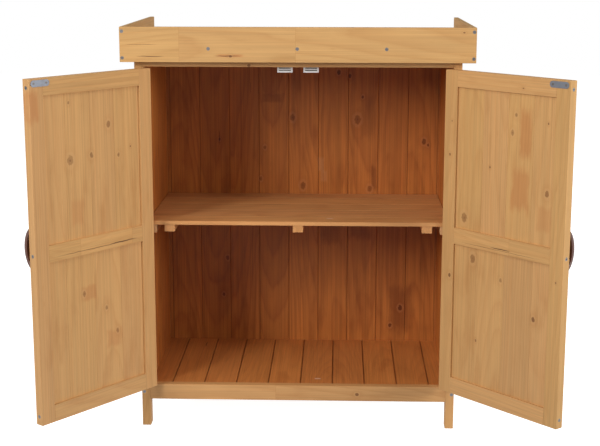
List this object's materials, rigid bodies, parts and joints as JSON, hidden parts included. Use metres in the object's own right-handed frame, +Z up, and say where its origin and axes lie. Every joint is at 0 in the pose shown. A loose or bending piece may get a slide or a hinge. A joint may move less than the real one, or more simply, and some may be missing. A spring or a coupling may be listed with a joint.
{
  "type": "potting bench",
  "caption": "Free-standing timber potting bench: a boarded cabinet with hinged doors, a shelf and a raised rim round the front and sides of the worktop.",
  "frame": {"origin": "on the floor, at the centre of the rectangle that the four legs stand on", "axes": "+X to the right seen from the front, +Y towards the back, +Z up"},
  "size_m": [1.1739, 0.7523, 0.952],
  "materials": {
    "rim_wood": "satin",
    "frame_wood": "satin",
    "wall_wood": "satin",
    "shelf_wood": "satin",
    "door_wood": "satin",
    "worktop_wood": "satin",
    "zinc_steel": "satin",
    "strike_steel": "satin",
    "yellow_zinc": "satin",
    "pole_steel": "matte",
    "magnet": "matte",
    "catch_plastic": "satin",
    "handle_plastic": "satin"
  },
  "bodies": {
    "cabinet": {"front_left_leg": "frame_wood", "front_right_leg": "frame_wood", "back_left_leg": "frame_wood", "back_right_leg": "frame_wood", "front_top_rail": "frame_wood", "front_bottom_rail": "frame_wood", "back_top_rail": "frame_wood", "back_bottom_rail": "frame_wood", "left_side_top_rail": "frame_wood", "left_side_bottom_rail": "frame_wood", "right_side_top_rail": "frame_wood", "right_side_bottom_rail": "frame_wood", "back_boards": "wall_wood", "left_side_boards": "wall_wood", "right_side_boards": "wall_wood", "floor_boards": "wall_wood", "floor_bearers": "frame_wood", "shelf_board_1": "shelf_wood", "shelf_board_2": "shelf_wood", "shelf_board_3": "shelf_wood", "shelf_board_4": "shelf_wood", "shelf_board_5": "shelf_wood", "shelf_battens": "shelf_wood", "shelf_ledgers": "shelf_wood", "worktop_planks": "worktop_wood", "worktop_battens": "frame_wood", "front_rim_board": "rim_wood", "left_rim_board": "rim_wood", "right_rim_board": "rim_wood", "catch_block": "frame_wood", "left_catch_body": "catch_plastic", "right_catch_body": "catch_plastic", "catch_mounting_plates": "yellow_zinc", "catch_pole_plates": "pole_steel", "catch_magnets": "magnet", "frame_screws": "zinc_steel", "fitting_screws": "zinc_steel", "hinge_frame_leaves": "zinc_steel", "hinge_pins": "zinc_steel"},
    "left_door": {"left_door_hinge_stile": "door_wood", "left_door_free_stile": "door_wood", "left_door_top_rail": "door_wood", "left_door_middle_rail": "door_wood", "left_door_bottom_rail": "door_wood", "left_door_boards": "door_wood", "left_door_strike_plate": "strike_steel", "left_door_handle": "handle_plastic", "left_door_screws": "zinc_steel", "left_door_hinge_leaves": "zinc_steel"},
    "right_door": {"right_door_hinge_stile": "door_wood", "right_door_free_stile": "door_wood", "right_door_top_rail": "door_wood", "right_door_middle_rail": "door_wood", "right_door_bottom_rail": "door_wood", "right_door_boards": "door_wood", "right_door_strike_plate": "strike_steel", "right_door_handle": "handle_plastic", "right_door_screws": "zinc_steel", "right_door_hinge_leaves": "zinc_steel"}
  },
  "joints": [
    {"name": "left_door_hinge", "type": "hinge", "parent": "cabinet", "child": "left_door", "pos_m": [-0.35175, -0.2133, 0.48], "axis": [0, 0, -1], "range_deg": [-127, 53]},
    {"name": "right_door_hinge", "type": "hinge", "parent": "cabinet", "child": "right_door", "pos_m": [0.35175, -0.2133, 0.48], "axis": [0, 0, 1], "range_deg": [-132, 48]}
  ]
}
